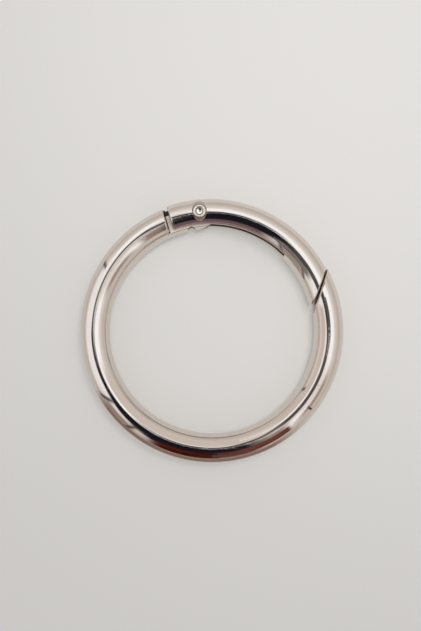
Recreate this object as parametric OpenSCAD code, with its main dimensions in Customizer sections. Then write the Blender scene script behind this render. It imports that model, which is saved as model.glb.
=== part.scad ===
// Spring gate ring: a ring of round bar with a hinged gate that opens inward
// and springs shut. The ring lies flat, centred on the origin, +Z up.
// Angles run anticlockwise round the ring from +X, seen from above.

/* [Ring] */
// Inside diameter of the closed ring
ring_inner_d = 38; // [32:1:50]
// Diameter of the round bar
bar_d = 5.4; // [5:0.1:6.4]
// Rounding of the bar's edges at the hinge gap
end_round = 0.45; // [0.2:0.05:0.6]

/* [Hinge] */
// Angle of the pivot pin
pin_angle = 96; // [90:1:102]
// Distance of the pin outward from the bar's centre line
pin_offset = 0.4; // [0.2:0.05:0.6]
// Diameter of the pin's shank
pin_d = 1.5; // [1.2:0.1:1.7]
// Running clearance between the shank and the eye, on the radius
pin_clearance = 0.05; // [0.02:0.01:0.1]
// Clearance round the shank where it is riveted in the gate's cheeks
rivet_clearance = 0.02; // [0.01:0.01:0.04]
// Distance along the bar from the pin to the middle of the hinge gap
heel_length = 5.9; // [5.4:0.1:7]
// Width of the hinge gap
hinge_gap = 0.8; // [0.75:0.05:1.2]
// Lean of the hinge gap away from square to the bar, so that it faces the pin
hinge_gap_lean = 4.8; // [0:0.2:8]
// How far the gate opens
opening_angle = 30; // [20:1:32]

/* [Tongue] */
// Clearance between the tongue and each cheek of the gate
cheek_clearance = 0.1; // [0.05:0.05:0.2]
// Clearance between the tongue and the gate's outer wall
wall_clearance = 0.15; // [0.1:0.05:0.25]
// Rounding of the tongue's outer edges
tongue_round = 0.35; // [0.1:0.05:0.5]
// Fillet where the tongue leaves the ring's end face
root_fillet = 0.25; // [0.1:0.05:0.3]
// Distance that the round eye stays inside the bar's surface
eye_inset = 0.08; // [0.05:0.01:0.2]
// Radius of the scallop between the eye and the tongue's neck
scallop_r = 0.7; // [0.4:0.1:0.9]
// Distance along the bar from the pin to the scallop
scallop_place = 2; // [1.8:0.1:2.4]
// Distance along the bar from the pin to the spring's seat
seat_place = 2; // [1.8:0.1:2.3]

/* [Gate] */
// Width of the slot between the gate's two cheeks
slot_w = 3.1; // [2.8:0.1:3.4]
// Thickness of the gate's outer wall behind the slot
outer_wall = 0.85; // [0.6:0.05:0.95]
// Length of the slot along the bar, past the pin
slot_length = 19.2; // [15:0.2:20]
// Chamfer of the slot's lips
lip_chamfer = 0.15; // [0.05:0.05:0.2]
// Radius of the round boss at the pin, on each cheek
boss_r = 1.85; // [1.6:0.05:2]
// Radius of the flat top of the boss
boss_top_r = 1.2; // [1.2:0.05:1.4]
// Height of the sloping flank of the boss
boss_flank = 0.72; // [0.4:0.02:0.9]
// Height of the boss above the bar
boss_rise = 0.15; // [0.05:0.05:0.3]
// How far the gate's arc lies off the ring's, outward at the hinge and inward at the nose
gate_offset = 0.4; // [0:0.05:0.5]
// Direction of that offset
gate_offset_angle = 157; // [140:1:175]

/* [Nose] */
// Angle at which the nose cut meets the outside of the ring
nose_angle = 28.7; // [24:0.1:34]
// Turn of the nose cut away from square to the arm that runs to it from the pin
nose_turn = 3.4; // [0:0.2:6]
// Gap between the closed gate's nose and the ring, at the outside
nose_gap = 0.12; // [0.05:0.01:0.2]
// How much more the gate's nose is cut back towards the inside
nose_relief = 1.8; // [0:0.1:3]
// Rounding of the edges at the nose cut
nose_round = 0.45; // [0.1:0.05:0.6]

/* [Pin heads] */
// Outer diameter of the rolled rim
rim_d = 2.33; // [2.2:0.05:2.5]
// Width of the rolled rim's band
rim_band = 0.47; // [0.4:0.01:0.5]
// Depth of the pointed hollow inside the rim
hollow_depth = 0.75; // [0.5:0.05:0.9]
// Diameter of the low domed head underneath
head_d = 2.4; // [2.1:0.1:2.6]
// Height of the domed head
head_h = 0.25; // [0.15:0.05:0.35]

/* [Spring] */
// Outer diameter of the coil
spring_d = 2.5; // [2:0.1:2.6]
// Diameter of the spring wire
spring_wire_d = 0.42; // [0.3:0.02:0.5]
// Number of turns, with one closed turn at each end
spring_turns = 14; // [8:1:16]
// Distance of the coil's axis inward from the bar's centre line
spring_inset = 0.6; // [0.5:0.05:0.7]
// Gap between each end of the spring and its seat
spring_end_gap = 0.05; // [0.02:0.01:0.1]

/* [Hidden] */
$fn = 96;
bar_r = bar_d / 2;
bar_path_r = ring_inner_d / 2 + bar_r;
outer_r = bar_path_r + bar_r;
boss_top = bar_r + boss_rise;
mid_z = boss_top + head_h;

pin_r = pin_d / 2;
wall_inner_r = outer_r - outer_wall;
tongue_outer_r = wall_inner_r - wall_clearance;
tongue_t = slot_w - 2 * cheek_clearance;
eye_r = bar_r - eye_inset;

// Turns a distance along a path of radius r into an angle round the ring.
function turn(distance, r = bar_path_r) = distance / r * 180 / PI;
function polar(r, angle) = [r * cos(angle), r * sin(angle)];

gap_angle = pin_angle + turn(heel_length);
slot_end_angle = pin_angle - turn(slot_length);
seat_angle = pin_angle - turn(seat_place);
pin_xy = polar(bar_path_r + pin_offset, pin_angle);
nose_xy = polar(outer_r, nose_angle);
nose_arm_angle = atan2(nose_xy[1] - pin_xy[1], nose_xy[0] - pin_xy[0]);
nose_normal = nose_arm_angle + nose_turn;
gate_xy = polar(gate_offset, gate_offset_angle);
// How far the gate's centre line lies outside the ring's, at the hinge gap.
gate_shift_at_gap = gate_offset * cos(gate_offset_angle - gap_angle);

// Uncut bar left beyond each cut, so that the cut alone makes the end.
spare = bar_r;
// Radius of a straight cutter that takes in all of the curved bar near a cut.
cutter_r = bar_d + spare / 2;
// Angle at which an end's rounding meets the bar's skin.
crease = 20;

// Raises a piece from the ring's middle plane to its place above the resting plane.
module lifted() translate([0, 0, mid_z]) children();

module at_xy(xy) translate([xy[0], xy[1], 0]) children();

// Sweeps a profile round the ring, from one angle to another.
module swept(from, to) rotate([0, 0, from]) rotate_extrude(angle = to - from) children();

module bar(from, to) swept(from, to) translate([bar_path_r, 0]) circle(bar_r);

// A flat profile of half a disc, with its outer corners rounded.
module disc_profile(r, h, round) {
    translate([0, -h / 2]) square([r - round, h]);
    translate([0, round - h / 2]) square([r, h - 2 * round]);
    for (side = [-1, 1])
        translate([r - round, side * (h / 2 - round)]) circle(round);
}

// The hinge gap's own frame: +X runs outward along the gap, +Y into the ring's end.
module at_hinge_gap()
    rotate([0, 0, gap_angle])
        translate([bar_path_r, 0, 0])
            rotate([0, 0, -hinge_gap_lean])
                children();

// Takes off all of a bar that lies beyond +Y, and rounds the edge of the end it leaves.
module end_cutter(reach, round) {
    face_r = bar_r - round * cos(crease);
    rotate([-90, 0, 0])
        rotate_extrude()
            difference() {
                translate([0, -round]) square([cutter_r, reach + round]);
                translate([0, -2 * round]) square([face_r, 2 * round]);
                translate([face_r, -round]) circle(round);
            }
}

// Takes off the bar on one side of the nose cut: towards the ring, or towards the gate
// where the side is 180. The cut is slanted, so the cutter is sheared along the bar. The
// cut is nearly square to the arm from the pin, so that the nose swings clear of the
// ring as soon as the gate starts to open.
module nose_cutter(side, normal, centre, gap = 0) {
    reach = nose_xy - centre;
    inward = polar(1, normal - 90);
    half_chord = -reach * inward;
    depth = half_chord - sqrt(half_chord * half_chord - reach * reach + bar_path_r * bar_path_r);
    middle = nose_xy + depth * inward;
    from_centre = middle - centre;
    slant = normal - atan2(from_centre[1], from_centre[0]) + 90;
    at_xy(middle)
        rotate([0, 0, normal - 90 + side])
            translate([0, -gap, 0])
                multmatrix([[1 / cos(slant), tan(slant), 0, 0], [0, 1, 0, 0], [0, 0, 1, 0]])
                    end_cutter(2 * bar_d, nose_round);
}

// What the gate's outer wall leaves free for the tongue when the gate stands open.
module room_in_gate(open_by)
    at_xy(pin_xy)
        rotate([0, 0, -open_by])
            at_xy(gate_xy - pin_xy)
                rotate_extrude()
                    disc_profile(tongue_outer_r, tongue_t, tongue_round);

// The tongue's neck, which follows the bar, and the round eye at its end.
module tongue_outline() {
    difference() {
        swept(pin_angle, gap_angle + turn(hinge_gap + spare))
            translate([bar_path_r - bar_d, -bar_r]) square([2 * bar_d, bar_d]);
        at_xy(polar(ring_inner_d / 2, pin_angle + turn(scallop_place)))
            cylinder(h = 2 * bar_d, r = scallop_r, center = true);
    }
    at_xy(polar(bar_path_r, pin_angle)) cylinder(h = bar_d, r = eye_r, center = true);
}

module tongue()
    intersection() {
        tongue_outline();
        room_in_gate(0);
        room_in_gate(opening_angle / 2);
        room_in_gate(opening_angle);
    }

// Fillets between the tongue's two flats and the ring's end face.
module root_fillets()
    for (side = [0, 180])
        at_hinge_gap()
            rotate([0, side, 0])
                translate([-bar_r, hinge_gap / 2 - root_fillet, tongue_t / 2 - root_fillet])
                    rotate([90, 0, 90])
                        linear_extrude(2 * bar_r)
                            difference() {
                                square(2 * root_fillet);
                                translate([0, 2 * root_fillet]) circle(root_fillet);
                            }

module ring_body()
    color("silver")
        lifted()
            difference() {
                bar(seat_angle, 360 + nose_angle + turn(spare));
                difference() {
                    at_hinge_gap()
                        translate([0, hinge_gap / 2, 0])
                            rotate([0, 0, 180])
                                end_cutter(heel_length + seat_place + spare, end_round);
                    tongue();
                    root_fillets();
                }
                nose_cutter(180, nose_normal, [0, 0]);
                at_xy(pin_xy) cylinder(h = bar_d, r = pin_r + pin_clearance, center = true);
            }

// Section of the slot, open towards the inside of the ring, with chamfered lips.
module slot_profile() {
    half = slot_w / 2;
    lip_r = bar_path_r - sqrt(bar_r * bar_r - half * half) + lip_chamfer;
    flare = bar_r;
    polygon([
        [wall_inner_r, -half], [wall_inner_r, half],
        [lip_r, half], [lip_r - flare, half + flare],
        [lip_r - flare, -half - flare], [lip_r, -half]
    ]);
}

// The round boss that carries the pin, with a sloping flank at each end.
module boss()
    rotate_extrude()
        polygon([
            [0, -boss_top], [boss_top_r, -boss_top], [boss_r, boss_flank - boss_top],
            [boss_r, boss_top - boss_flank], [boss_top_r, boss_top], [0, boss_top]
        ]);

module gate()
    color("gainsboro")
        lifted()
            difference() {
                union() {
                    at_xy(gate_xy) bar(nose_angle - turn(2 * spare), gap_angle + turn(spare));
                    at_xy(pin_xy) boss();
                }
                at_xy(gate_xy) swept(slot_end_angle, gap_angle + turn(2 * spare)) slot_profile();
                at_hinge_gap()
                    translate([gate_shift_at_gap, -hinge_gap / 2, 0])
                        end_cutter(2 * spare, end_round);
                nose_cutter(0, nose_normal - nose_relief, gate_xy, nose_gap);
                at_xy(pin_xy) cylinder(h = 2 * bar_d, r = pin_r + rivet_clearance, center = true);
            }

// A rivet: a low dome below, and above it a rim rolled outward round a pointed hollow.
module pivot_pin() {
    rim_r = rim_band / 2;
    rim_path_r = rim_d / 2 - rim_r;
    rim_lift = rim_r / 4; // height of the band's middle above the boss
    dome_r = (head_d * head_d / 4 + head_h * head_h) / (2 * head_h);
    color("lightgray")
        lifted()
            at_xy(pin_xy)
                rotate_extrude()
                    difference() {
                        union() {
                            translate([0, -boss_top]) square([pin_r, 2 * boss_top]);
                            translate([0, boss_top]) square([rim_path_r, rim_lift]);
                            intersection() {
                                translate([rim_path_r, boss_top + rim_lift]) circle(rim_r);
                                translate([0, boss_top]) square(rim_d);
                            }
                            intersection() {
                                translate([0, dome_r - boss_top - head_h]) circle(dome_r);
                                translate([0, -boss_top - head_h]) square([head_d, head_h]);
                            }
                        }
                        translate([0, boss_top + rim_lift])
                            polygon([[0, -hollow_depth], [rim_path_r - rim_r, 0], [0, 0]]);
                    }
}

// A compression spring that follows the slot, with a closed turn at each end.
module gate_spring() {
    wire_r = spring_wire_d / 2;
    coil_r = spring_d / 2 - wire_r;
    path_r = bar_path_r - spring_inset;
    end_turn = turn(spring_end_gap + wire_r, path_r);
    seat_shift = gate_offset * sin(gate_offset_angle - seat_angle);
    from = seat_angle - end_turn - turn(seat_shift, path_r);
    closed = turn(spring_wire_d, path_r);
    span = from - slot_end_angle - end_turn;
    open_pitch = (span - 2 * closed) / (spring_turns - 2);
    steps = 16;
    sides = 8;
    rings = spring_turns * steps;
    // How far the coil has advanced round the ring after n turns.
    function advance(n) =
        n < 1 ? n * closed
        : n > spring_turns - 1 ? span - (spring_turns - n) * closed
        : closed + (n - 1) * open_pitch;
    // A point on the wire's skin, n turns along and at angle a round the wire.
    function skin(n, a) =
        let (
            along = from - advance(n),
            reach = coil_r + wire_r * cos(a),
            r = path_r + reach * cos(360 * n)
        )
        [
            r * cos(along) - wire_r * sin(a) * sin(along),
            r * sin(along) + wire_r * sin(a) * cos(along),
            reach * sin(360 * n)
        ];
    points = [for (i = [0:rings], j = [0:sides - 1]) skin(i / steps, 360 * j / sides)];
    skin_faces = [
        for (i = [0:rings - 1], j = [0:sides - 1])
            let (a = i * sides + j, b = i * sides + (j + 1) % sides)
                each [[a, b, b + sides], [a, b + sides, a + sides]]
    ];
    end_faces = [
        [for (j = [sides - 1:-1:0]) j],
        [for (j = [0:sides - 1]) rings * sides + j]
    ];
    color("darkgray") lifted() at_xy(gate_xy) polyhedron(points, concat(skin_faces, end_faces));
}

ring_body();
gate();
pivot_pin();
gate_spring();
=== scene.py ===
"""Spring gate ring: plated finishes, the coil spring, the table, the light and the camera."""
import math
from collections import namedtuple

import bpy
from bpy.props import FloatProperty, FloatVectorProperty, IntProperty, PointerProperty
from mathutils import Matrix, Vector


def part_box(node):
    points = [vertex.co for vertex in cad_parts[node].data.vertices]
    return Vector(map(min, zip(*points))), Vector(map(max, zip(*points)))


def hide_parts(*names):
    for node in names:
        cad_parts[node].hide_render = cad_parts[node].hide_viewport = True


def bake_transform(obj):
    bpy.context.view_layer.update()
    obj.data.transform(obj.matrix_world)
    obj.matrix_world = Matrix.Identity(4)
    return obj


bl_info = {
    "name": "Spring Gate Ring Dresser",
    "version": (1, 0, 0),
    "blender": (4, 5, 0),
    "location": "View3D > Sidebar > Gate Ring",
    "description": "Dresses a plated spring gate ring: finishes, coil spring and studio",
    "category": "Object",
}

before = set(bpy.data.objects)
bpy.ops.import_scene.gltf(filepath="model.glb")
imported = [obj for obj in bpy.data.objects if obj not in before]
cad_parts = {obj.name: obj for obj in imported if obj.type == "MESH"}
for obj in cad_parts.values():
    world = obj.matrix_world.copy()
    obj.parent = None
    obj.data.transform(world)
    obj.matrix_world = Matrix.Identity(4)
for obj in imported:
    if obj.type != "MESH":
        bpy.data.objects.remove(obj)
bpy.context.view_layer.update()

# ---------------------------------------------------------------- places on the part

# Lengths are in metres, as everywhere in the scene.
MM = 0.001
RING_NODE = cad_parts["ring_body"]
GATE_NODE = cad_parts["gate"]
PIN_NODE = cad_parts["pivot_pin"]

RING_INNER_D, BAR_D = 38.0 * MM, 5.4 * MM
BAR_R = BAR_D / 2
BAR_PATH_R = (RING_INNER_D + BAR_D) / 2
RING_LOW, RING_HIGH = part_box("ring_body")
MIDDLE_Z = (RING_HIGH.z + RING_LOW.z) / 2

# The gate's arc is struck from a centre a little off the ring's own.
RING_CENTRE = (0.0, 0.0, 0.0)
GATE_OFFSET, GATE_OFFSET_ANGLE = 0.4 * MM, math.radians(157)
GATE_CENTRE = (GATE_OFFSET * math.cos(GATE_OFFSET_ANGLE),
               GATE_OFFSET * math.sin(GATE_OFFSET_ANGLE), 0.0)
SLOT_HALF_HEIGHT = 1.55 * MM

PIN_LOW, PIN_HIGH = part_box("pivot_pin")
PIN_XY = ((PIN_LOW.x + PIN_HIGH.x) / 2, (PIN_LOW.y + PIN_HIGH.y) / 2)
PIN_TOP_Z = PIN_HIGH.z
PIN_ANGLE = math.atan2(PIN_XY[1], PIN_XY[0])


# ---------------------------------------------------------------- sizes and colours

class PlatingSettings(bpy.types.PropertyGroup):
    """The bright plated finish of the two castings and of the rivet, with painted shade and a
    painted highlight.
    """
    tint: FloatVectorProperty(
        name="Plating Tint", description="Reflected colour of the plating",
        default=(0.75, 0.685, 0.63), size=3, subtype="COLOR", min=0, max=1)
    rivet_tint: FloatVectorProperty(
        name="Rivet Tint", description="Reflected colour of the rivet's plating",
        default=(0.97, 0.91, 0.84), size=3, subtype="COLOR", min=0, max=1)
    # Painted highlight: a colour brighter than the plating, standing in for the bright reflection
    # on the ring tongue's flat faces.
    tongue_highlight: FloatVectorProperty(
        name="Tongue Tint", description="Bright colour of the flat faces of the hinge tongue",
        default=(0.98, 0.87, 0.77), size=3, subtype="COLOR", min=0, max=1)
    end_tint: FloatVectorProperty(
        name="End Tint", description="Dull colour of the cut ends of the ring and the gate",
        default=(0.46, 0.385, 0.335), size=3, subtype="COLOR", min=0, max=1)
    # Painted shade: darkens the ring's cut faces near the pin, the tongue beyond its edge and the
    # crevice under the rivet's rim.
    hinge_shade: FloatVectorProperty(
        name="Hinge Tint", description="Dark colour of the thin plating inside the hinge gap",
        default=(0.07, 0.05, 0.042), size=3, subtype="COLOR", min=0, max=1)
    boss_tint: FloatVectorProperty(
        name="Boss Tint", description="Reflected colour of the cast boss round the rivet",
        default=(0.54, 0.45, 0.40), size=3, subtype="COLOR", min=0, max=1)
    # Painted shade: darkens the gate's flat faces inside the slot, and the middle of the rivet's
    # hollow and the crease round it.
    recess_shade: FloatVectorProperty(
        name="Recess Tint", description="Dark colour inside the slot and in the rivet's creases",
        default=(0.11, 0.09, 0.08), size=3, subtype="COLOR", min=0, max=1)
    polish: FloatProperty(
        name="Polish Roughness", description="Roughness of the polished skin",
        default=0.055, min=0.01, max=0.6)
    recess_roughness: FloatProperty(
        name="Recess Roughness", description="Roughness of the cast faces inside the bar",
        default=0.38, min=0.05, max=1)
    tongue_roughness: FloatProperty(
        name="Tongue Roughness", description="Roughness of the flat faces of the tongue",
        default=0.58, min=0.05, max=1)
    boss_roughness: FloatProperty(
        name="Boss Roughness", description="Roughness of the cast boss round the rivet",
        default=0.26, min=0.05, max=1)
    rivet_roughness: FloatProperty(
        name="Rivet Roughness", description="Roughness of the rivet's rolled rim",
        default=0.34, min=0.01, max=0.8)
    hollow_curve: FloatProperty(
        name="Hollow Curve", description="Lean of the hollow's mirror per metre from its axis",
        default=560.0, min=0, max=3000)
    hollow_roughness: FloatProperty(
        name="Hollow Roughness", description="Roughness of the hollow in the rivet",
        default=0.10, min=0.01, max=0.8)
    ripple_height: FloatProperty(
        name="Ripple Height", description="Height of the slow waves left by polishing",
        default=0.0022 * MM, min=0, max=0.05 * MM, unit="LENGTH", precision=7)
    hairline_height: FloatProperty(
        name="Hairline Height", description="Depth of the hairline scratches",
        default=0.0012 * MM, min=0, max=0.05 * MM, unit="LENGTH", precision=7)
    nick_height: FloatProperty(
        name="Nick Height", description="Depth of the small nicks",
        default=0.018 * MM, min=0, max=0.2 * MM, unit="LENGTH", precision=7)


class SpringSettings(bpy.types.PropertyGroup):
    """The coil spring that shuts the gate."""
    coil_d: FloatProperty(
        name="Coil Diameter", description="Outer diameter of the coil",
        default=2.5 * MM, min=1 * MM, max=3 * MM, unit="LENGTH", precision=5)
    wire_d: FloatProperty(
        name="Wire Diameter", description="Diameter of the spring wire",
        default=0.42 * MM, min=0.2 * MM, max=0.6 * MM, unit="LENGTH", precision=5)
    turns: IntProperty(
        name="Turns", description="Number of turns, with one closed turn at each end",
        default=14, min=6, max=20)
    inset: FloatProperty(
        name="Inset", description="Distance of the coil's axis inward from the bar's centre line",
        default=0.6 * MM, min=0, max=1 * MM, unit="LENGTH", precision=5)
    seat_place: FloatProperty(
        name="Seat Place", description="Distance along the bar from the pin to the ring's seat",
        default=2 * MM, min=1 * MM, max=4 * MM, unit="LENGTH", precision=5)
    slot_length: FloatProperty(
        name="Slot Length", description="Distance along the bar from the pin to the slot's end",
        default=19.2 * MM, min=10 * MM, max=22 * MM, unit="LENGTH", precision=5)
    end_gap: FloatProperty(
        name="End Gap", description="Gap between each end of the spring and its seat",
        default=0.05 * MM, min=0, max=0.3 * MM, unit="LENGTH", precision=5)
    wire_tint: FloatVectorProperty(
        name="Wire Tint", description="Reflected colour of the spring wire",
        default=(0.50, 0.49, 0.47), size=3, subtype="COLOR", min=0, max=1)
    wire_roughness: FloatProperty(
        name="Wire Roughness", description="Roughness of the drawn wire",
        default=0.28, min=0.02, max=0.8)


class StudioSettings(bpy.types.PropertyGroup):
    """The table, the light and the camera."""
    table_tint: FloatVectorProperty(
        name="Table Colour", description="Colour of the plain table top",
        default=(0.80, 0.789, 0.772), size=3, subtype="COLOR", min=0, max=1)
    table_glow: FloatProperty(
        name="Table Glow", description="Light that the thin table top passes from below",
        default=0.215, min=0, max=1)
    table_half: FloatProperty(
        name="Table Half Width", description="Half the width of the table top",
        default=1.2, min=0.2, max=5, unit="LENGTH")
    camera_x: FloatProperty(
        name="Camera X", description="Place of the camera across the ring",
        default=-0.28 * MM, unit="LENGTH", precision=5)
    camera_y: FloatProperty(
        name="Camera Y", description="Place of the camera along the ring",
        default=2.9 * MM, unit="LENGTH", precision=5)
    camera_height: FloatProperty(
        name="Camera Height", description="Height of the camera above the ring's middle plane",
        default=158 * MM, min=0.05, max=2, unit="LENGTH")
    camera_lens: FloatProperty(
        name="Lens", description="Focal length for a 36 mm long side, in millimetres",
        default=48.49, min=10, max=200)
    key_power: FloatProperty(
        name="Key Power", description="Power of the soft lamp at the upper right",
        default=0.38, min=0, max=50, unit="POWER")
    spot_power: FloatProperty(
        name="Spot Power", description="Power of the spot lamp overhead",
        default=2.75, min=0, max=50, unit="POWER")
    fill_strength: FloatProperty(
        name="Fill Strength", description="Strength of the even light from all round",
        default=0.40, min=0, max=2)


SETTINGS = {
    "gate_ring_plating": PlatingSettings,
    "gate_ring_spring": SpringSettings,
    "gate_ring_studio": StudioSettings,
}


def plating():
    """The plating's settings on the scene."""
    return bpy.context.scene.gate_ring_plating


def spring_sizes():
    """The spring's settings on the scene."""
    return bpy.context.scene.gate_ring_spring


def studio():
    """The studio's settings on the scene."""
    return bpy.context.scene.gate_ring_studio


# ---------------------------------------------------------------- node helpers

NODES_A_ROW, NODE_WIDTH, NODE_DROP = 12, 180, 220
# The places of a Mix node's two inputs and of its output, for each kind of value.
MIX_SOCKETS = {"FLOAT": (2, 3, 0), "VECTOR": (4, 5, 1), "RGBA": (6, 7, 2)}


class Nodes:
    """Adds nodes to a tree and links their inputs in one call."""

    def __init__(self, tree):
        self.tree = tree
        self.count = 0

    def add(self, kind, inputs=None, **facts):
        node = self.tree.nodes.new(kind)
        self.count += 1
        row, column = divmod(self.count, NODES_A_ROW)
        node.location = (NODE_WIDTH * column, -NODE_DROP * row)
        for fact, value in facts.items():
            setattr(node, fact, value)
        for socket, value in (inputs or {}).items():
            self.put(node.inputs[socket], value)
        return node

    def put(self, socket, value):
        """Links a node or a socket to an input, or sets the input to a plain value."""
        if isinstance(value, bpy.types.NodeSocket):
            self.tree.links.new(value, socket)
        elif isinstance(value, bpy.types.Node):
            self.tree.links.new(value.outputs[0], socket)
        elif socket.type == "RGBA":
            socket.default_value = (*value[:3], 1.0)
        else:
            socket.default_value = value

    def math(self, operation, *values):
        return self.add("ShaderNodeMath", dict(enumerate(values)), operation=operation).outputs[0]

    def vector(self, operation, *values):
        node = self.add("ShaderNodeVectorMath", dict(enumerate(values)), operation=operation)
        scalar = operation in {"LENGTH", "DOT_PRODUCT", "DISTANCE"}
        return node.outputs["Value" if scalar else "Vector"]

    def scaled(self, vector, factor):
        return self.add("ShaderNodeVectorMath", {0: vector, "Scale": factor},
                        operation="SCALE").outputs["Vector"]

    def across(self, place):
        """The part of a place that lies in the plane of the ring."""
        return self.vector("MULTIPLY", place, (1.0, 1.0, 0.0))

    def part(self, vector, axis):
        """One of the X, Y and Z parts of a vector."""
        return self.add("ShaderNodeSeparateXYZ", {0: vector}).outputs[axis]

    def rises(self, value, low, high, full=1.0):
        """A smooth step from 0 at low to full at high."""
        return self.step(value, low, high, 0.0, full)

    def fades(self, value, low, high, full=1.0):
        """A smooth step from full at low to 0 at high."""
        return self.step(value, low, high, full, 0.0)

    def step(self, value, low, high, out_low, out_high):
        return self.add("ShaderNodeMapRange",
                        {"Value": value, "From Min": low, "From Max": high,
                         "To Min": out_low, "To Max": out_high},
                        interpolation_type="SMOOTHSTEP").outputs[0]

    def mix(self, kind, factor, below, above):
        """Blends two values of a kind: below where the factor is 0, above where it is 1."""
        first, second, result = MIX_SOCKETS[kind]
        return self.add("ShaderNodeMix", {0: factor, first: below, second: above},
                        data_type=kind).outputs[result]

    def normal(self, vector, source, target):
        """A normal given in one space, as it stands in another."""
        return self.add("ShaderNodeVectorTransform", {0: vector}, vector_type="NORMAL",
                        convert_from=source, convert_to=target).outputs[0]

    def group(self, tree, inputs):
        return self.add("ShaderNodeGroup", inputs, node_tree=tree)


KINDS = {"value": "NodeSocketFloat", "vector": "NodeSocketVector", "count": "NodeSocketInt",
         "material": "NodeSocketMaterial", "mesh": "NodeSocketGeometry"}


def new_group(name, inputs, outputs, kind="ShaderNodeTree"):
    """A node group with named inputs, given as name: (kind, default), and named outputs."""
    tree = bpy.data.node_groups.new(name, kind)
    for label, (socket, default) in inputs.items():
        made = tree.interface.new_socket(label, in_out="INPUT", socket_type=KINDS[socket])
        if default is not None:
            made.default_value = default
    for label, socket in outputs.items():
        tree.interface.new_socket(label, in_out="OUTPUT", socket_type=KINDS[socket])
    nodes = Nodes(tree)
    return tree, nodes, nodes.add("NodeGroupInput"), nodes.add("NodeGroupOutput")


def shared_group(name, build):
    """The node group of that name, built on its first use."""
    return bpy.data.node_groups.get(name) or build(name)


def emptied(owner):
    """The node helper of a material's or a world's own tree, with nothing in it yet."""
    owner.use_nodes = True
    owner.node_tree.nodes.clear()
    return Nodes(owner.node_tree)


# ---------------------------------------------------------------- finishes

# A point counts as on the bar's skin within this margin, and where the mesh leans its way.
SKIN_MARGIN, SKIN_AGREEMENT = 0.02 * MM, 0.985


def bar_skin_group(name):
    """The exact normal of the round bar, and how deep a point lies below its skin."""
    tree, n, given, out = new_group(
        name,
        {"Path Radius": ("value", BAR_PATH_R), "Bar Radius": ("value", BAR_R),
         "Middle Height": ("value", MIDDLE_Z), "Centre": ("vector", None)},
        {"Normal": "vector", "Depth": "value", "Above": "value", "Outward": "value"})
    place = n.vector("SUBTRACT", n.add("ShaderNodeTexCoord").outputs["Object"],
                     given.outputs["Centre"])
    outward = n.vector("NORMALIZE", n.across(place))
    up = n.add("ShaderNodeCombineXYZ", {"Z": given.outputs["Middle Height"]})
    centre = n.vector("ADD", n.scaled(outward, given.outputs["Path Radius"]), up)
    arm = n.vector("SUBTRACT", place, centre)
    exact = n.normal(n.vector("NORMALIZE", arm), "OBJECT", "WORLD")
    depth = n.math("SUBTRACT", given.outputs["Bar Radius"], n.vector("LENGTH", arm))
    meshed = n.add("ShaderNodeNewGeometry").outputs["Normal"]
    close = n.math("LESS_THAN", n.math("ABSOLUTE", depth), SKIN_MARGIN)
    agrees = n.math("GREATER_THAN", n.vector("DOT_PRODUCT", exact, meshed), SKIN_AGREEMENT)
    on_skin = n.math("MULTIPLY", close, agrees)
    n.put(out.inputs["Normal"], n.mix("VECTOR", on_skin, meshed, exact))
    n.put(out.inputs["Depth"], depth)
    n.put(out.inputs["Outward"], n.vector("DOT_PRODUCT", arm, outward))
    n.put(out.inputs["Above"], n.math("SUBTRACT", n.part(place, "Z"),
                                      given.outputs["Middle Height"]))
    return tree


# Three sets of scratches: turn and lean in radians, and how many times longer than wide.
# A scratch lies where stretched noise is within a width of a level, in some patches only.
HAIRLINE_SETS = ((0.35, 0.2, 16.0), (1.25, -0.3, 22.0), (2.2, 0.15, 18.0))
HAIRLINE_LEVEL, HAIRLINE_WIDTH, HAIRLINE_PATCH = 0.5, 0.012, (0.56, 0.68)
# A nick's radius as a share of its cell, least and by chance, and where its wall slopes.
NICK_LEAST, NICK_SPREAD, NICK_WALL = 0.03, 0.05, (0.2, 1.0)
SMUDGE_EDGE = (0.45, 0.75)


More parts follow.
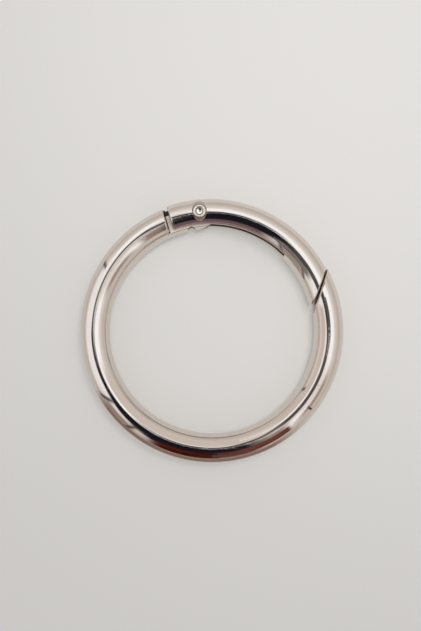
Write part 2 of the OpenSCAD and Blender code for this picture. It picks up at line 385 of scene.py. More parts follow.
def polish_marks_group(name):
    """Slow ripples, hairline scratches and small nicks: heights, and where they dull the skin."""
    tree, n, given, out = new_group(
        name,
        {"Ripple Height": ("value", 0.002 * MM), "Ripple Scale": ("value", 330.0),
         "Hairline Height": ("value", 0.001 * MM), "Hairline Scale": ("value", 900.0),
         "Nick Height": ("value", 0.02 * MM), "Nick Scale": ("value", 420.0),
         "Nick Share": ("value", 0.12)},
        {"Height": "value", "Hairlines": "value", "Nicks": "value", "Smudges": "value"})
    place = n.add("ShaderNodeTexCoord").outputs["Object"]
    ripple = n.add("ShaderNodeTexNoise", {"Vector": place, "Scale": given.outputs["Ripple Scale"],
                                          "Detail": 1.0, "Roughness": 0.4})
    lines = None
    for turn, lean, stretch in HAIRLINE_SETS:
        turned = n.add("ShaderNodeMapping", {"Vector": place, "Rotation": (lean, lean, turn),
                                             "Scale": (1.0, stretch, stretch)})
        streak = n.add("ShaderNodeTexNoise",
                       {"Vector": turned, "Scale": given.outputs["Hairline Scale"],
                        "Detail": 0.0})
        off_line = n.math("ABSOLUTE", n.math("SUBTRACT", streak.outputs[0], HAIRLINE_LEVEL))
        cut = n.fades(off_line, 0.0, HAIRLINE_WIDTH)
        patch = n.add("ShaderNodeTexNoise", {"Vector": turned, "Scale": 60.0, "Detail": 1.0})
        cut = n.math("MULTIPLY", cut, n.rises(patch.outputs[0], *HAIRLINE_PATCH))
        lines = cut if lines is None else n.math("MAXIMUM", lines, cut)
    cells = n.add("ShaderNodeTexVoronoi", {"Vector": place, "Scale": given.outputs["Nick Scale"],
                                           "Randomness": 1.0})
    chance = n.add("ShaderNodeSeparateXYZ", {0: cells.outputs["Color"]})
    chosen = n.math("LESS_THAN", chance.outputs[0], given.outputs["Nick Share"])
    size = n.math("MULTIPLY_ADD", chance.outputs[1], NICK_SPREAD, NICK_LEAST)
    dent = n.fades(n.math("DIVIDE", cells.outputs["Distance"], size), *NICK_WALL)
    nicks = n.math("MULTIPLY", dent, chosen)
    smudge = n.add("ShaderNodeTexNoise", {"Vector": place, "Scale": 190.0, "Detail": 5.0,
                                          "Roughness": 0.62})
    height = n.math("MULTIPLY", ripple.outputs[0], given.outputs["Ripple Height"])
    height = n.math("SUBTRACT", height,
                    n.math("MULTIPLY", lines, given.outputs["Hairline Height"]))
    height = n.math("SUBTRACT", height, n.math("MULTIPLY", nicks, given.outputs["Nick Height"]))
    n.put(out.inputs["Height"], height)
    n.put(out.inputs["Hairlines"], lines)
    n.put(out.inputs["Nicks"], nicks)
    n.put(out.inputs["Smudges"], n.rises(smudge.outputs[0], *SMUDGE_EDGE))
    return tree


def metal_material(name, roughness, marks):
    """A metallic material with its shader, its polish marks and the helper to fill it."""
    material = bpy.data.materials.new(name)
    n = emptied(material)
    shader = n.add("ShaderNodeBsdfPrincipled", {"Metallic": 1.0, "Roughness": roughness})
    n.put(n.add("ShaderNodeOutputMaterial").inputs["Surface"], shader.outputs[0])
    marks = n.group(shared_group("Polish Marks", polish_marks_group), marks)
    return material, n, shader, marks


def finish_metal(n, shader, colour, roughness, height, normal=None):
    """Links a metal's colour, roughness and surface relief to its shader."""
    relief = {"Strength": 1.0, "Distance": 1.0, "Height": height}
    if normal is not None:
        relief["Normal"] = normal
    n.put(shader.inputs["Base Color"], colour)
    n.put(shader.inputs["Roughness"], roughness)
    n.put(shader.inputs["Normal"], n.add("ShaderNodeBump", relief))


def darkened(colour, share):
    """A colour at a share of its brightness."""
    return [c * share for c in colour]


# Where one finish gives way to the next on the bar: the first three by the distance below its
# skin, the tongue's edge by the distance outward of the bar's centre line, the root and the
# crevice under the rim by the distance from the pin, and flat faces by how far they look up.
# The ring's root and the crevice take painted shade, and at the tongue's edge the ring's
# painted highlight gives way to painted shade.
CUT_END_DEPTH = (0.28 * MM, 0.44 * MM)
SLOT_WALL_DEPTH = (0.02 * MM, 0.1 * MM)
BOSS_RISE = (-0.08 * MM, -0.03 * MM)
TONGUE_EDGE = (0.95 * MM, 1.15 * MM)
ROOT_REACH = (7.0 * MM, 9.0 * MM)
CREVICE_REACH = (1.2 * MM, 1.38 * MM)
FLAT_FACING = (0.75, 0.95)
# The slot's faces are told by their height, to this much beyond the slot.
SLOT_MARGIN = 0.03 * MM
# How far smudges darken the plating, and how much each mark adds to its roughness.
WORN_SHARE, WORN_SHADE = 0.2, 0.88
SMUDGE_DULLS, HAIRLINE_DULLS, NICK_DULLS = 0.035, 0.16, 0.2


def plated_bar_material(name, centre, slot_highlight_and_shade, slot_roughness, root_tint_and_shade):
    """Bright plating on the bar's skin, with duller plating on the faces cut into it, painted
    shade on some of them and a painted highlight on the ring tongue's flat faces.
    """
    s = plating()
    material, n, shader, marks = metal_material(
        name, s.polish, {"Ripple Height": s.ripple_height, "Hairline Height": s.hairline_height,
                         "Nick Height": s.nick_height})
    skin = n.group(shared_group("Bar Skin", bar_skin_group), {"Centre": centre})
    depth = skin.outputs["Depth"]
    cut_end = n.rises(depth, *CUT_END_DEPTH)
    in_slot = n.math("MULTIPLY", n.rises(depth, *SLOT_WALL_DEPTH),
                     n.math("LESS_THAN", n.math("ABSOLUTE", skin.outputs["Above"]),
                            SLOT_HALF_HEIGHT + SLOT_MARGIN))
    inside = n.math("MAXIMUM", cut_end, in_slot)
    boss = n.fades(depth, *BOSS_RISE)
    facing = n.normal(n.add("ShaderNodeNewGeometry").outputs["Normal"], "WORLD", "OBJECT")
    flat = n.rises(n.math("ABSOLUTE", n.part(facing, "Z")), *FLAT_FACING)
    flat_in_slot = n.math("MULTIPLY", in_slot, flat)
    from_pin = n.vector("DISTANCE", n.across(n.add("ShaderNodeTexCoord").outputs["Object"]),
                        (*PIN_XY, 0.0))

    worn = n.mix("RGBA", n.math("MULTIPLY", marks.outputs["Smudges"], WORN_SHARE), s.tint,
                 darkened(s.tint, WORN_SHADE))
    # Near the pin the ring's cut faces take painted shade, the gate's the dull end colour.
    ends = n.mix("RGBA", n.rises(from_pin, *ROOT_REACH), root_tint_and_shade, s.end_tint)
    # Flat slot faces short of the tongue's edge: painted highlight on the ring, painted shade on
    # the gate.
    shown = n.math("MULTIPLY", flat_in_slot, n.fades(skin.outputs["Outward"], *TONGUE_EDGE))
    cut = n.mix("RGBA", shown, ends, slot_highlight_and_shade)
    # Painted shade in the crevice under the rivet's rim; the rest of the boss keeps its own
    # colour.
    cast = n.mix("RGBA", n.rises(from_pin, *CREVICE_REACH), s.hinge_shade, s.boss_tint)
    colour = n.mix("RGBA", boss, n.mix("RGBA", inside, worn, cut), cast)

    dull = n.math("MULTIPLY_ADD", marks.outputs["Smudges"], SMUDGE_DULLS, s.polish)
    dull = n.math("MULTIPLY_ADD", marks.outputs["Hairlines"], HAIRLINE_DULLS, dull)
    dull = n.math("MULTIPLY_ADD", marks.outputs["Nicks"], NICK_DULLS, dull)
    cut_dull = n.mix("FLOAT", flat_in_slot, s.recess_roughness, slot_roughness)
    rough = n.mix("FLOAT", inside, dull, cut_dull)
    rough = n.mix("FLOAT", boss, rough, s.boss_roughness)
    finish_metal(n, shader, colour, rough, marks.outputs["Height"], skin.outputs["Normal"])
    return material


# The rivet's hollow, the point of painted shade in its middle and the crease of painted shade
# round it, from the rivet's axis.
HOLLOW_DEPTH, HOLLOW_EDGE = 0.8 * MM, (0.45 * MM, 0.58 * MM)
POINT_EDGE, POINT_SHADE = (0.05 * MM, 0.15 * MM), 0.75
CREASE_STARTS, CREASE_ENDS, CREASE_SHADE = (0.46 * MM, 0.58 * MM), (0.68 * MM, 0.8 * MM), 0.5
TURNED_RING_HEIGHT = 0.0012 * MM
RIVET_NICK_DEPTH_SHARE, RIVET_SMUDGE_DULLS = 1 / 3, 0.08


def plated_rivet_material():
    """The rivet's rolled rim and bright, dished hollow, with painted shade in its middle and
    creases.
    """
    s = plating()
    material, n, shader, marks = metal_material(
        "plated_rivet", s.rivet_roughness,
        {"Ripple Scale": 1400.0, "Ripple Height": s.ripple_height,
         "Hairline Scale": 1600.0, "Hairline Height": s.hairline_height,
         "Nick Scale": 1500.0, "Nick Height": s.nick_height * RIVET_NICK_DEPTH_SHARE,
         "Nick Share": 0.2})
    centred = n.add("ShaderNodeMapping", {"Vector": n.add("ShaderNodeTexCoord").outputs["Object"],
                                          "Location": (-PIN_XY[0], -PIN_XY[1], -PIN_TOP_Z)})
    sideways = n.across(centred)
    from_axis = n.vector("LENGTH", sideways)
    near_top = n.math("GREATER_THAN", n.part(centred, "Z"), -HOLLOW_DEPTH)
    hollow = n.math("MULTIPLY", n.fades(from_axis, *HOLLOW_EDGE), near_top)
    point = n.fades(from_axis, *POINT_EDGE, POINT_SHADE)
    crease = n.math("MULTIPLY", n.rises(from_axis, *CREASE_STARTS, CREASE_SHADE),
                    n.fades(from_axis, *CREASE_ENDS))
    # Painted shade at the hollow's middle and in the crease round it.
    shaded = n.math("MAXIMUM", n.math("MULTIPLY", hollow, point), crease)
    colour = n.mix("RGBA", shaded, s.rivet_tint, s.recess_shade)
    rough = n.mix("FLOAT", hollow, s.rivet_roughness, s.hollow_roughness)
    rough = n.math("MULTIPLY_ADD", marks.outputs["Smudges"], RIVET_SMUDGE_DULLS, rough)
    rings = n.add("ShaderNodeTexWave", {"Vector": centred, "Scale": 2600.0, "Distortion": 1.5,
                                        "Detail": 2.0},
                  wave_type="RINGS", rings_direction="Z")
    height = n.math("MULTIPLY_ADD", rings.outputs["Fac"], TURNED_RING_HEIGHT,
                    marks.outputs["Height"])
    dished = n.vector("SUBTRACT", (0.0, 0.0, 1.0), n.scaled(sideways, s.hollow_curve))
    dished = n.normal(n.vector("NORMALIZE", dished), "OBJECT", "WORLD")
    meshed = n.add("ShaderNodeNewGeometry").outputs["Normal"]
    finish_metal(n, shader, colour, rough, height, n.mix("VECTOR", hollow, meshed, dished))
    return material


WIRE_WORN_SHARE, WIRE_WORN_SHADE, WIRE_SMUDGE_DULLS = 0.5, 0.72, 0.15


def spring_wire_material():
    """Plain drawn wire, a little smudged."""
    s = spring_sizes()
    material, n, shader, marks = metal_material(
        "spring_wire", s.wire_roughness,
        {"Ripple Scale": 2500.0, "Ripple Height": 0.0008 * MM,
         "Hairline Scale": 2400.0, "Hairline Height": 0.0012 * MM,
         "Nick Scale": 2000.0, "Nick Height": 0.002 * MM, "Nick Share": 0.1})
    smudges = marks.outputs["Smudges"]
    colour = n.mix("RGBA", n.math("MULTIPLY", smudges, WIRE_WORN_SHARE), s.wire_tint,
                   darkened(s.wire_tint, WIRE_WORN_SHADE))
    rough = n.math("MULTIPLY_ADD", smudges, WIRE_SMUDGE_DULLS, s.wire_roughness)
    finish_metal(n, shader, colour, rough, marks.outputs["Height"])
    return material


# ---------------------------------------------------------------- the coil spring

STEPS_A_TURN, WIRE_SIDES = 24, 12
CLOSED_TURNS = 2.0


def coil_tree():
    """Geometry Nodes: a wire wound round a path, closed at both ends, as one skin."""
    tree, n, given, out = new_group(
        "Coil Spring",
        {"Path Radius": ("value", BAR_PATH_R), "Coil Radius": ("value", 1.0 * MM),
         "Wire Radius": ("value", 0.2 * MM), "Turns": ("count", 14), "Start": ("value", 1.5),
         "Span": ("value", 0.7), "Closed Turn": ("value", 0.02), "Centre": ("vector", None),
         "Steps": ("count", STEPS_A_TURN), "Wire Sides": ("count", WIRE_SIDES),
         "Finish": ("material", None)},
        {"Coil": "mesh"}, kind="GeometryNodeTree")
    turns = given.outputs["Turns"]
    count = n.math("ADD", n.math("MULTIPLY", turns, given.outputs["Steps"]), 1.0)
    line = n.add("GeometryNodeMeshLine", {"Count": count}, mode="OFFSET")
    curve = n.add("GeometryNodeMeshToCurve", {"Mesh": line})
    done = n.math("DIVIDE", n.add("GeometryNodeInputIndex").outputs[0], given.outputs["Steps"])
    closed = given.outputs["Closed Turn"]
    inner_turns = n.math("SUBTRACT", turns, CLOSED_TURNS)
    pitch = n.math("DIVIDE", n.math("SUBTRACT", given.outputs["Span"],
                                    n.math("MULTIPLY", closed, CLOSED_TURNS)), inner_turns)
    first = n.math("MULTIPLY", n.math("MINIMUM", done, 1.0), closed)
    middle = n.math("MULTIPLY", pitch, n.math(
        "MINIMUM", n.math("MAXIMUM", n.math("SUBTRACT", done, 1.0), 0.0), inner_turns))
    last = n.math("MULTIPLY", closed, n.math(
        "MAXIMUM", n.math("SUBTRACT", done, n.math("SUBTRACT", turns, 1.0)), 0.0))
    along = n.math("SUBTRACT", given.outputs["Start"],
                   n.math("ADD", n.math("ADD", first, middle), last))
    round_the_wire = n.math("MULTIPLY", done, math.tau)
    reach = given.outputs["Coil Radius"]
    radius = n.math("MULTIPLY_ADD", n.math("COSINE", round_the_wire), reach,
                    given.outputs["Path Radius"])
    place = n.add("ShaderNodeCombineXYZ", {
        "X": n.math("MULTIPLY", radius, n.math("COSINE", along)),
        "Y": n.math("MULTIPLY", radius, n.math("SINE", along)),
        "Z": n.math("MULTIPLY", n.math("SINE", round_the_wire), reach)})
    wound = n.add("GeometryNodeSetPosition",
                  {"Geometry": curve, "Position": place, "Offset": given.outputs["Centre"]})
    section = n.add("GeometryNodeCurvePrimitiveCircle",
                    {"Resolution": given.outputs["Wire Sides"],
                     "Radius": given.outputs["Wire Radius"]}, mode="RADIUS")
    skin = n.add("GeometryNodeCurveToMesh",
                 {"Curve": wound, "Profile Curve": section, "Fill Caps": True})
    smooth = n.add("GeometryNodeSetShadeSmooth", {"Geometry": skin, "Shade Smooth": True})
    solid = n.add("GeometryNodeRealizeInstances", {"Geometry": smooth})
    finished = n.add("GeometryNodeSetMaterial",
                     {"Geometry": solid, "Material": given.outputs["Finish"]})
    n.put(out.inputs["Coil"], finished)
    return tree


def grown_mesh(name, tree, values):
    """A plain mesh object made by a node tree on an empty mesh, with its named inputs set."""
    maker = bpy.data.objects.new(name, bpy.data.meshes.new(name + "_seed"))
    bpy.context.scene.collection.objects.link(maker)
    modifier = maker.modifiers.new("Maker", "NODES")
    modifier.node_group = tree
    for item in tree.interface.items_tree:
        if item.item_type == "SOCKET" and item.in_out == "INPUT" and item.name in values:
            modifier[item.identifier] = values[item.name]
    evaluated = maker.evaluated_get(bpy.context.evaluated_depsgraph_get())
    mesh = bpy.data.meshes.new_from_object(evaluated)
    if not mesh.polygons:
        raise RuntimeError(f"{name} came out empty")
    maker.modifiers.remove(modifier)
    seed, maker.data = maker.data, mesh
    bpy.data.meshes.remove(seed)
    mesh.name = name
    return maker


# ---------------------------------------------------------------- the surroundings

# The distance below the zenith, in degrees, at which a patch's middle is given.
PATCH_LEVEL, HALF_TURN = 60.0, 180.0


def sky_patch_group(name):
    """How much of a soft-edged patch of the surroundings lies in a direction."""
    tree, n, given, out = new_group(
        name,
        {"Azimuth": ("value", 0.0), "From Zenith": ("value", 0.0), "Middle": ("value", 0.0),
         "Half Width": ("value", 10.0), "Side Softness": ("value", 5.0), "Slant": ("value", 0.0),
         "Top": ("value", 0.0), "Bottom": ("value", 90.0), "End Softness": ("value", 5.0)},
        {"Share": "value"})

    def edge(ramp, value, place, softness):
        return ramp(value, n.math("SUBTRACT", place, softness), n.math("ADD", place, softness))

    down = given.outputs["From Zenith"]
    middle = n.math("MULTIPLY_ADD", n.math("SUBTRACT", down, PATCH_LEVEL),
                    given.outputs["Slant"], given.outputs["Middle"])
    apart = n.math("ABSOLUTE", n.math(
        "WRAP", n.math("SUBTRACT", given.outputs["Azimuth"], middle), HALF_TURN, -HALF_TURN))
    end = given.outputs["End Softness"]
    sideways = edge(n.fades, apart, given.outputs["Half Width"], given.outputs["Side Softness"])
    below = edge(n.rises, down, given.outputs["Top"], end)
    above = edge(n.fades, down, given.outputs["Bottom"], end)
    n.put(out.inputs["Share"], n.math("MULTIPLY", sideways, n.math("MULTIPLY", below, above)))
    return tree


# What the plating mirrors: a plain sky from high to low, between two distances below the
# zenith, and patches on it. A patch's facts are in degrees, but for the slant of its middle,
# in degrees of azimuth for each degree below the zenith.
SKY_HIGH, SKY_LOW, SKY_SPAN = (0.92, 0.89, 0.87), (0.63, 0.585, 0.545), (30.0, 80.0)
PALE, SOFT_PALE, TAN = (1.20, 1.26, 1.32), (1.05, 1.07, 1.10), (0.42, 0.34, 0.30)
LOW_TAN, RIGHT_TAN, FOOT_TAN = (0.34, 0.29, 0.26), (0.37, 0.28, 0.25), (0.40, 0.31, 0.27)
BROWN, DEEP_BROWN, PURPLE = (0.10, 0.088, 0.083), (0.05, 0.038, 0.035), (0.17, 0.115, 0.13)
GREY, BLACK, LINE = (0.055, 0.053, 0.056), (0.012, 0.011, 0.017), (0.05, 0.045, 0.05)
PATCH_FACTS = ("Middle", "Half Width", "Side Softness", "Slant", "Top", "Bottom", "End Softness")
SURROUNDINGS = (
    (162, 52, 14, 0, 24, 46, 7, PALE),
    (180, 32, 12, 0, 24, 70, 14, SOFT_PALE),
    (40, 62, 10, 0, -10, 34, 6, PALE),
    (318, 34, 12, 0.9, -10, 46, 9, PALE),
    (222, 8, 3, 0, 58, 98, 8, LOW_TAN),
    (298, 9, 4, 0, 8, 54, 8, RIGHT_TAN),
    (326, 12, 7, 0, 32, 56, 8, TAN),
    (266, 26, 5, 0, 38, 92, 7, PURPLE),
    (164, 44, 6, 0, 10, 21, 3.5, BROWN),
    (80, 36, 8, 0, -10, 10, 3.5, BLACK),
    (116, 14, 7, 0, -10, 14, 4, DEEP_BROWN),
    (199, 17, 6, 0, 9.5, 24.5, 3.5, GREY),
    (273, 31, 5, 0.83, 3, 37, 4, BLACK),
    (260, 32, 6, 0, -10, 37, 4, BLACK),
    (263, 31, 8, 0, 30, 50, 6, BLACK),
    (262, 44, 10, 0, 83, 97, 6, FOOT_TAN),
    (149.5, 1.0, 1.0, -0.05, 48, 90, 6, LINE),
    (213.5, 1.4, 1.2, -0.11, 28, 100, 8, LINE),
    (231, 1.1, 1.0, -0.07, 28, 96, 8, LINE),
)
FILL_COLOUR = (1.0, 0.985, 0.965)
# A ray that has met no matt surface has a diffuse depth of 0, which lies below this.
FIRST_DEPTH = 0.5


def light_the_world():
    """Even light from all round, which the plating mirrors as the patterned surroundings."""
    world = bpy.data.worlds.new("studio")
    n = emptied(world)
    bpy.context.scene.world = world
    way = n.vector("NORMALIZE", n.add("ShaderNodeTexCoord").outputs["Generated"])
    split = n.add("ShaderNodeSeparateXYZ", {0: way})
    azimuth = n.math("DEGREES", n.math("ARCTAN2", split.outputs["Y"], split.outputs["X"]))
    zenith = n.math("DEGREES", n.math("ARCCOSINE", split.outputs["Z"]))
    seen = n.mix("RGBA", n.rises(zenith, *SKY_SPAN), SKY_HIGH, SKY_LOW)
    patch = shared_group("Sky Patch", sky_patch_group)
    for *facts, colour in SURROUNDINGS:
        share = n.group(patch, {"Azimuth": azimuth, "From Zenith": zenith,
                                **dict(zip(PATCH_FACTS, facts))})
        seen = n.mix("RGBA", share, seen, colour)
    mirrored = n.add("ShaderNodeBackground", {"Color": seen, "Strength": 1.0})
    even = n.add("ShaderNodeBackground", {"Color": FILL_COLOUR,
                                          "Strength": studio().fill_strength})
    ray = n.add("ShaderNodeLightPath")
    direct = n.math("LESS_THAN", ray.outputs["Diffuse Depth"], FIRST_DEPTH)
    share = n.math("MULTIPLY", ray.outputs["Is Glossy Ray"], direct)
    both = n.add("ShaderNodeMixShader", {0: share, 1: even, 2: mirrored})
    n.put(n.add("ShaderNodeOutputWorld").inputs["Surface"], both)


# Glowing cards by the ring, which light nothing and are seen only as reflections in the plating:
# painted reflections. Turns are in degrees round the ring, reach from its centre and height
# above the table are in millimetres, softness is the share that fades at the first turn, at the
# last turn and along each side, and patchy is how far dark patches dim it.
Card = namedtuple("Card", "name turns reach height softness colour patchy", defaults=(0.0,))
SIDE_HEIGHT, CREST_HEIGHT, FLOOR_HEIGHT = 12, 8.8, 0.5
CARDS = (
    Card("left_card", (239, 275), (26, 88), SIDE_HEIGHT, (0.2, 0.1, 0.03),
         (0.085, 0.014, 0.010), 0.8),
    Card("right_card", (270, 310), (25.2, 46), SIDE_HEIGHT, (0.1, 0.06, 0.1),
         (0.17, 0.062, 0.050), 0.5),
    Card("crest_card", (-14, 17), (20.4, 22.3), CREST_HEIGHT, (0.45, 0.02, 0.25),
         (0.12, 0.112, 0.11)),
    Card("low_crest_card", (-60, 2), (20.4, 21.75), CREST_HEIGHT, (0.15, 0.3, 0.2),
         (0.10, 0.09, 0.087)),
    Card("nose_card", (15, 54), (19.4, 21.6), CREST_HEIGHT, (0.12, 0.35, 0.12),
         (0.095, 0.09, 0.088)),
    Card("gate_card", (26, 58), (9, 18.4), SIDE_HEIGHT, (0.2, 0.3, 0.2),
         (0.24, 0.22, 0.21), 0.4),
    Card("inner_card", (190, 314), (11, 20.1), SIDE_HEIGHT, (0.15, 0.24, 0.15),
         (0.74, 0.68, 0.63)),
    Card("right_inner_card", (284, 374), (4, 17.6), SIDE_HEIGHT, (0.3, 0.04, 0.15),
         (0.72, 0.65, 0.60)),
    Card("tick_card", (320.8, 322.2), (25, 50), SIDE_HEIGHT, (0.25, 0.12, 0.12), LINE),
    Card("floor_card", (204, 318), (24.6, 260), FLOOR_HEIGHT, (0.12, 0.2, 0.02),
         (0.27, 0.195, 0.165)),
)
CARD_STEPS = 60
DIM_PATCH_EDGE, DIM_PATCH_SHARE = (0.4, 0.65), 0.25


def card_mesh(card):
    """A flat curved strip, with a UV map that runs along it and across it."""
    first, last = (math.radians(turn) for turn in card.turns)
    points = []
    for step in range(CARD_STEPS + 1):
        turn = first + (last - first) * step / CARD_STEPS
        for radius in card.reach:
            points.append(
                Vector((radius * math.cos(turn), radius * math.sin(turn), card.height)) * MM)
    faces, corners = [], []
    for step in range(CARD_STEPS):
        inner, low, high = 2 * step, step / CARD_STEPS, (step + 1) / CARD_STEPS
        faces.append((inner, inner + 1, inner + 3, inner + 2))
        corners += [(low, 0), (low, 1), (high, 1), (high, 0)]
    mesh = bpy.data.meshes.new(card.name)
    mesh.from_pydata(points, [], faces)
    for loop, uv in zip(mesh.uv_layers.new(name="UVMap").data, corners):
        loop.uv = uv
    return mesh


def card_material(card):
    """A dim glow, a painted reflection, that fades to nothing at the card's ends and sides and is
    darker in patches.
    """
    material = bpy.data.materials.new(card.name)
    n = emptied(material)
    place = n.add("ShaderNodeTexCoord")
    uv = n.add("ShaderNodeSeparateXYZ", {0: place.outputs["UV"]})
    first, last, side = card.softness
    inward = n.math("MINIMUM", uv.outputs["Y"], n.math("SUBTRACT", 1.0, uv.outputs["Y"]))
    shown = n.math("MULTIPLY", n.rises(uv.outputs["X"], 0.0, first),
                   n.fades(uv.outputs["X"], 1.0 - last, 1.0))
    shown = n.math("MULTIPLY", shown, n.rises(inward, 0.0, side))
    dim_noise = n.add("ShaderNodeTexNoise", {"Vector": place.outputs["Object"], "Scale": 120.0,
                                         "Detail": 2.0})
    dimmed = n.math("MULTIPLY", n.rises(dim_noise.outputs[0], *DIM_PATCH_EDGE), card.patchy)
    varied = n.mix("RGBA", dimmed, card.colour, darkened(card.colour, DIM_PATCH_SHARE))
    glow = n.add("ShaderNodeEmission", {"Color": varied, "Strength": 1.0})
    clear = n.add("ShaderNodeBsdfTransparent")
    both = n.add("ShaderNodeMixShader", {0: shown, 1: clear, 2: glow})
    n.put(n.add("ShaderNodeOutputMaterial").inputs["Surface"], both)
    return material


def near_card(facts):
    """Hangs one card of painted reflection, which only reflections see."""
    mesh = card_mesh(facts)
    mesh.materials.append(card_material(facts))
    card = bpy.data.objects.new(facts.name, mesh)
    for kind in ("camera", "diffuse", "shadow", "transmission", "volume_scatter"):
        setattr(card, "visible_" + kind, False)
    bpy.context.scene.collection.objects.link(card)


# ---------------------------------------------------------------- table, lamps and camera

GRAIN_SHARE, GRAIN_SHADE = 0.06, 0.9
# Places and sizes of the lamps, in metres from the ring's centre on the table.
SPOT_PLACE, SPOT_AIM, SPOT_CONE = (0.03, 0.06, 0.6), (0.03, 0.06, 0.0), math.radians(22)
SPOT_RADIUS, SPOT_COLOUR = 0.05, (1.0, 0.995, 0.98)
KEY_PLACE, KEY_AIM, KEY_SIZE = (0.10, 0.13, 0.45), (0.0, 0.0, 0.0), 0.16
KEY_COLOUR = (1.0, 0.99, 0.975)
SENSOR_WIDTH_MM, CAMERA_CLIP = 36.0, (0.01, 10.0)


def table_material():
    """A plain pale top with a faint grain, which passes a little light from below."""
    s = studio()
    material = bpy.data.materials.new("table_top")
    n = emptied(material)
    place = n.add("ShaderNodeTexCoord").outputs["Object"]
    grain = n.add("ShaderNodeTexNoise", {"Vector": place, "Scale": 260.0, "Detail": 3.0})
    colour = n.mix("RGBA", n.math("MULTIPLY", grain.outputs[0], GRAIN_SHARE), s.table_tint,
                   darkened(s.table_tint, GRAIN_SHADE))
    shader = n.add("ShaderNodeBsdfPrincipled", {
        "Base Color": colour, "Roughness": 0.62, "Specular IOR Level": 0.2,
        "Emission Color": s.table_tint, "Emission Strength": s.table_glow})
    n.put(n.add("ShaderNodeOutputMaterial").inputs["Surface"], shader.outputs[0])
    return material


def table_top():
    """The square table top that the ring lies on."""
    half = studio().table_half
    mesh = bpy.data.meshes.new("table_top")
    mesh.from_pydata([(-half, -half, 0), (half, -half, 0), (half, half, 0), (-half, half, 0)],
                     [], [(0, 1, 2, 3)])
    mesh.materials.append(table_material())
    table = bpy.data.objects.new("table_top", mesh)
    bpy.context.scene.collection.objects.link(table)


def soft_lamp(name, kind, place, aim, power, colour, **facts):
    """A lamp that the plating doesn't mirror, since the surroundings hold its light."""
    data = bpy.data.lights.new(name, kind)
    data.energy = power
    data.color = colour
    for fact, value in facts.items():
        setattr(data, fact, value)
    lamp = bpy.data.objects.new(name, data)
    lamp.location = place
    lamp.rotation_mode = "QUATERNION"
    lamp.rotation_quaternion = (Vector(aim) - Vector(place)).to_track_quat("-Z", "Y")
    lamp.visible_glossy = False
    bpy.context.scene.collection.objects.link(lamp)


def overhead_camera():
    """The camera straight above the ring, which the scene looks through."""
    s = studio()
    lens = bpy.data.cameras.new("overhead_camera")
    lens.lens = s.camera_lens
    lens.sensor_width = SENSOR_WIDTH_MM
    lens.clip_start, lens.clip_end = CAMERA_CLIP
    camera = bpy.data.objects.new("overhead_camera", lens)
    camera.location = (s.camera_x, s.camera_y, MIDDLE_Z + s.camera_height)
    bpy.context.scene.collection.objects.link(camera)
    bpy.context.scene.camera = camera


# ---------------------------------------------------------------- operators

def dress(node, material):
    """Gives a CAD piece one material in every slot it has."""
    if not node.data.materials:
        node.data.materials.append(material)
    for place in node.material_slots:
        place.link = "OBJECT"
        place.material = material


class GATERING_OT_castings(bpy.types.Operator):
    """Give the ring and the gate their polished plating"""
    bl_idname = "gate_ring.castings"
    bl_label = "Plate Ring and Gate"

    def execute(self, context):
        s = plating()
        # The ring's tongue takes a painted highlight and its hinge painted shade; the gate's slot
        # faces take painted shade.
        dress(RING_NODE, plated_bar_material("plated_ring", RING_CENTRE, s.tongue_highlight,
                                             s.tongue_roughness, s.hinge_shade))
        dress(GATE_NODE, plated_bar_material("plated_gate", GATE_CENTRE, s.recess_shade,
                                             s.recess_roughness, s.end_tint))
        return {"FINISHED"}


class GATERING_OT_rivet(bpy.types.Operator):
    """Give the pivot rivet its plated, formed finish"""
    bl_idname = "gate_ring.rivet"
    bl_label = "Finish Rivet"

    def execute(self, context):
        dress(PIN_NODE, plated_rivet_material())
        return {"FINISHED"}


class GATERING_OT_spring(bpy.types.Operator):
    """Wind the coil spring that lies in the gate's slot"""
    bl_idname = "gate_ring.spring"
    bl_label = "Wind Spring"

    def execute(self, context):
        s = spring_sizes()
        path_r = BAR_PATH_R - s.inset
        wire_r = s.wire_d / 2
        seat = PIN_ANGLE - s.seat_place / BAR_PATH_R
        slot_end = PIN_ANGLE - s.slot_length / BAR_PATH_R
        end_turn = (s.end_gap + wire_r) / path_r
        seat_shift = GATE_OFFSET * math.sin(GATE_OFFSET_ANGLE - seat)
        start = seat - end_turn - seat_shift / path_r
        coil = grown_mesh("spring_coil", coil_tree(), {
            "Path Radius": path_r, "Coil Radius": s.coil_d / 2 - wire_r, "Wire Radius": wire_r,
            "Turns": s.turns, "Start": start, "Span": start - slot_end - end_turn,
            "Closed Turn": s.wire_d / path_r,
            "Centre": (GATE_CENTRE[0], GATE_CENTRE[1], MIDDLE_Z), "Steps": STEPS_A_TURN,
            "Wire Sides": WIRE_SIDES, "Finish": spring_wire_material()})
        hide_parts("gate_spring")
        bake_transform(coil)
        return {"FINISHED"}


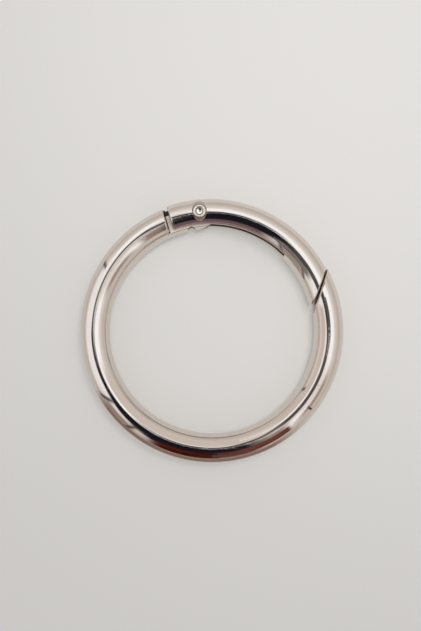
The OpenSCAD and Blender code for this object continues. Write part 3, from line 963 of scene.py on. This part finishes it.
class GATERING_OT_studio(bpy.types.Operator):
    """Make the table, the light and the camera"""
    bl_idname = "gate_ring.studio"
    bl_label = "Set Up Studio"

    def execute(self, context):
        s = studio()
        table_top()
        light_the_world()
        # Cards of painted reflection, seen only in the plating.
        for facts in CARDS:
            near_card(facts)
        soft_lamp("overhead_lamp", "SPOT", SPOT_PLACE, SPOT_AIM, s.spot_power, SPOT_COLOUR,
                  spot_size=SPOT_CONE, spot_blend=1.0, shadow_soft_size=SPOT_RADIUS)
        soft_lamp("key_lamp", "AREA", KEY_PLACE, KEY_AIM, s.key_power, KEY_COLOUR,
                  shape="DISK", size=KEY_SIZE)
        overhead_camera()
        context.scene.view_settings.view_transform = "Standard"
        return {"FINISHED"}


class GATERING_PT_panel(bpy.types.Panel):
    """Lists the steps that dress the ring, with their sizes and colours"""
    bl_idname = "GATERING_PT_panel"
    bl_label = "Gate Ring"
    bl_space_type = "VIEW_3D"
    bl_region_type = "UI"
    bl_category = "Gate Ring"

    def draw(self, context):
        layout = self.layout
        for settings, steps in (
                ("gate_ring_plating", (GATERING_OT_castings, GATERING_OT_rivet)),
                ("gate_ring_spring", (GATERING_OT_spring,)),
                ("gate_ring_studio", (GATERING_OT_studio,))):
            box = layout.box()
            group = getattr(context.scene, settings)
            for field in group.bl_rna.properties.keys():
                if field not in {"rna_type", "name"}:
                    box.prop(group, field)
            for step in steps:
                box.operator(step.bl_idname)


OPERATORS = (GATERING_OT_castings, GATERING_OT_rivet, GATERING_OT_spring, GATERING_OT_studio)
CLASSES = (*SETTINGS.values(), *OPERATORS, GATERING_PT_panel)


def register():
    for cls in CLASSES:
        bpy.utils.register_class(cls)
    for name, cls in SETTINGS.items():
        setattr(bpy.types.Scene, name, PointerProperty(type=cls))


def unregister():
    for name in SETTINGS:
        delattr(bpy.types.Scene, name)
    for cls in reversed(CLASSES):
        bpy.utils.unregister_class(cls)


def main():
    register()
    bpy.ops.gate_ring.castings()
    bpy.ops.gate_ring.rivet()
    bpy.ops.gate_ring.spring()
    bpy.ops.gate_ring.studio()


if __name__ == "__main__":
    main()
